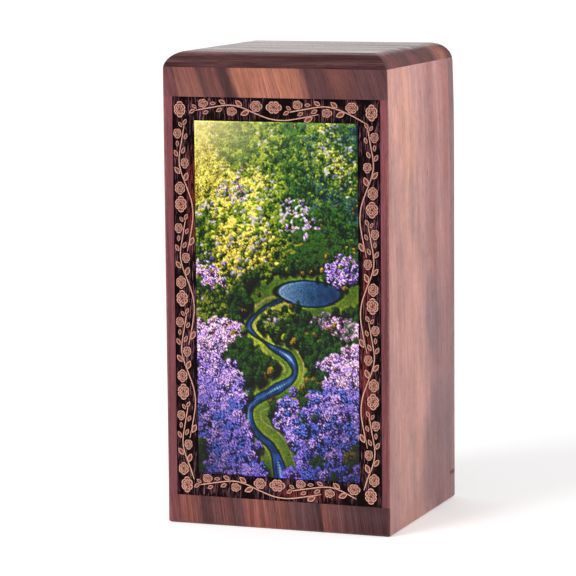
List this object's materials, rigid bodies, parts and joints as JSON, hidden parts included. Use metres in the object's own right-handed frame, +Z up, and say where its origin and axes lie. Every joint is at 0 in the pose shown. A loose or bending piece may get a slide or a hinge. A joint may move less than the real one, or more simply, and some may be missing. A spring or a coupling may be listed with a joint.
{
  "type": "cremation urn box",
  "caption": "Upright wooden cremation urn box with a rounded top board, an engraved rose border round a picture field on the front, and a base plate screwed on from below.",
  "frame": {"origin": "middle of the underside, where the urn stands", "axes": "+Z up along the urn's height; +X to the right of someone facing the front; the engraved front faces -Y"},
  "size_m": [0.142, 0.127, 0.2855],
  "materials": {
    "top_wood": "dark purple-brown rosewood, satin lacquer",
    "top_rail_wood": "orange-tan rosewood with dark streaks, satin lacquer",
    "panel_wood": "red rosewood, laser engraved to a near-black ground, with a printed picture field",
    "bottom_rail_wood": "brown-purple rosewood, satin lacquer",
    "side_wood": "pink-tan rosewood, satin lacquer",
    "back_wood": "plain red-brown rosewood, satin lacquer",
    "base_wood": "plain wood, oiled",
    "screw_brass": "slotted brass"
  },
  "bodies": {
    "root": {"top_board": "top_wood", "front_top_rail": "top_rail_wood", "front_panel": "panel_wood", "front_bottom_rail": "bottom_rail_wood", "side_left": "side_wood", "side_right": "side_wood", "back_board": "back_wood", "base_plate": "base_wood", "base_screw_front_left": "screw_brass", "base_screw_front_right": "screw_brass", "base_screw_back_left": "screw_brass", "base_screw_back_right": "screw_brass"}
  },
  "joints": []
}
